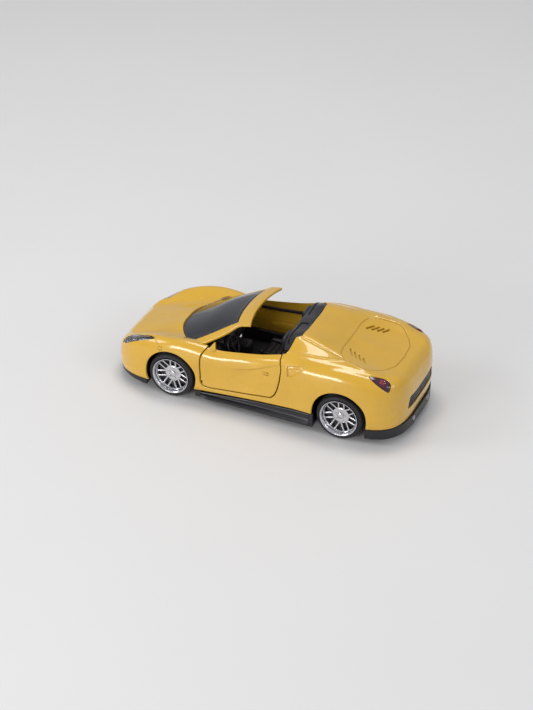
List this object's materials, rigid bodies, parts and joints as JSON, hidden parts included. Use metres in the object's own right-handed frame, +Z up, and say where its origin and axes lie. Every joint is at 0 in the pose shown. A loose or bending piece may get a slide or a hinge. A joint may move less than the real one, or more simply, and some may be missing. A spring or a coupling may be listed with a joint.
{
  "type": "pull-back toy car",
  "caption": "Open-top die-cast toy sports car with opening doors, paired-spoke wheels and a pull-back clockwork motor on its rear axle.",
  "frame": {"origin": "on the ground under the middle of the car's outline", "axes": "+X forward, +Y to the car's left, +Z up"},
  "size_m": [0.1286, 0.0546, 0.037],
  "materials": {
    "yellow_paint": "gloss metallic yellow enamel",
    "black_plastic": "satin black moulded plastic",
    "interior_plastic": "matte black moulded plastic",
    "tinted_glass": "smoke-tinted clear plastic",
    "clear_lamp": "clear plastic",
    "red_lamp": "dark red translucent plastic",
    "bright_rim": "vacuum-plated silver plastic",
    "tyre_rubber": "matte black rubber",
    "steel": "bright drawn steel",
    "white_nylon": "natural white nylon"
  },
  "bodies": {
    "car": {"body_shell": "yellow_paint", "windscreen": "tinted_glass", "headlight_left": "clear_lamp", "headlight_right": "clear_lamp", "tail_light_left": "red_lamp", "tail_light_right": "red_lamp", "front_grille": "black_plastic", "rear_panel": "black_plastic", "chassis": "black_plastic", "interior_tub": "interior_plastic", "bulkhead": "interior_plastic", "dashboard": "interior_plastic", "steering_wheel": "interior_plastic", "motor_case": "white_nylon", "motor_lid": "white_nylon", "mainspring": "steel", "hinge_pin_left": "steel", "hinge_pin_right": "steel", "exhaust_tip_left": "bright_rim", "exhaust_tip_right": "bright_rim", "base_screw_front": "steel", "base_screw_rear": "steel"},
    "door_left": {"door_left": "yellow_paint"},
    "door_right": {"door_right": "yellow_paint"},
    "front_wheels": {"front_axle": "steel", "rim_front_left": "bright_rim", "rim_front_right": "bright_rim", "tyre_front_left": "tyre_rubber", "tyre_front_right": "tyre_rubber"},
    "rear_wheels": {"rear_axle": "steel", "axle_gear": "white_nylon", "rim_rear_left": "bright_rim", "rim_rear_right": "bright_rim", "tyre_rear_left": "tyre_rubber", "tyre_rear_right": "tyre_rubber"},
    "idler": {"idler_gear": "white_nylon"},
    "drum": {"spring_drum": "white_nylon"}
  },
  "joints": [
    {"name": "door_left_hinge", "type": "hinge", "parent": "car", "child": "door_left", "pos_m": [0.0242, 0.0228, 0.01925], "axis": [0, 0, -1], "range_deg": [0, 50]},
    {"name": "door_right_hinge", "type": "hinge", "parent": "car", "child": "door_right", "pos_m": [0.0242, -0.0228, 0.01925], "axis": [0, 0, 1], "range_deg": [0, 50]},
    {"name": "front_axle_spin", "type": "hinge", "parent": "car", "child": "front_wheels", "pos_m": [0.0345, 0, 0.00975], "axis": [0, 1, 0], "continuous": true},
    {"name": "rear_axle_spin", "type": "hinge", "parent": "car", "child": "rear_wheels", "pos_m": [-0.0391, 0, 0.00975], "axis": [0, 1, 0], "continuous": true},
    {"name": "idler_spin", "type": "hinge", "parent": "car", "child": "idler", "pos_m": [-0.03333, 0, 0.01379], "axis": [0, 1, 0], "continuous": true},
    {"name": "drum_spin", "type": "hinge", "parent": "car", "child": "drum", "pos_m": [-0.0267, 0, 0.01138], "axis": [0, 1, 0], "continuous": true}
  ],
  "couplings": [
    {"joint": "idler_spin", "follows": "rear_axle_spin", "ratio": -0.4},
    {"joint": "drum_spin", "follows": "rear_axle_spin", "ratio": 0.16}
  ]
}
